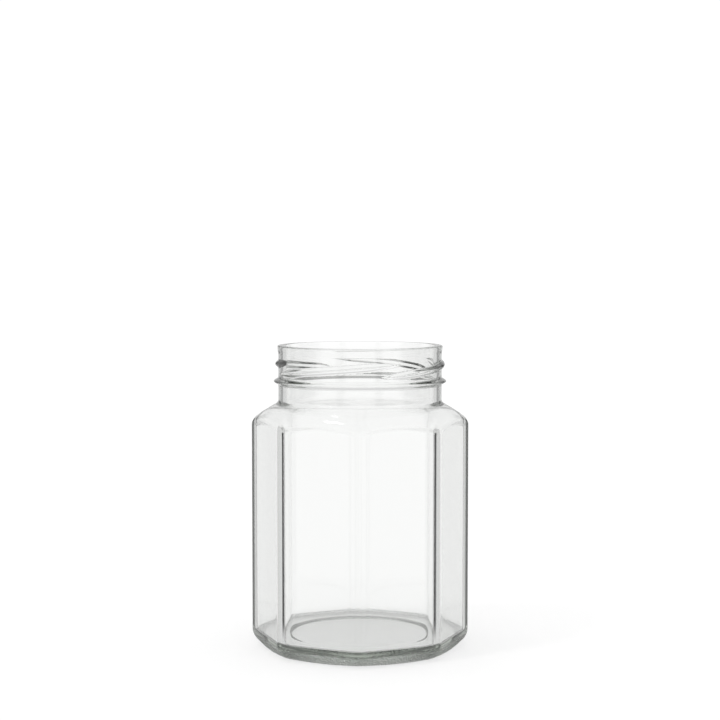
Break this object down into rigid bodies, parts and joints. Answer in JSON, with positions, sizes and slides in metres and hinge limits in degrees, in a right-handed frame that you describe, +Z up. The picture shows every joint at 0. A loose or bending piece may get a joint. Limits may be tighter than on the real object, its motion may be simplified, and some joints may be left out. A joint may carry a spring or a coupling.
{
  "type": "octagonal glass jar",
  "caption": "Clear glass jar with an octagonal body, soft upright edges, sloping shoulder and a round screw neck for a twist-off lid, shown empty and open.",
  "frame": {"origin": "middle of the foot, on the surface that the jar stands on", "axes": "+Z up through the mouth, -Y and +X through upright edges of the octagon"},
  "size_m": [0.072, 0.072, 0.1],
  "materials": {
    "clear_glass": "clear polished glass with a faint green cast in its thick edges, and a fine stippled ring under its heel"
  },
  "bodies": {
    "root": {"glass_jar": "clear_glass"}
  },
  "joints": []
}
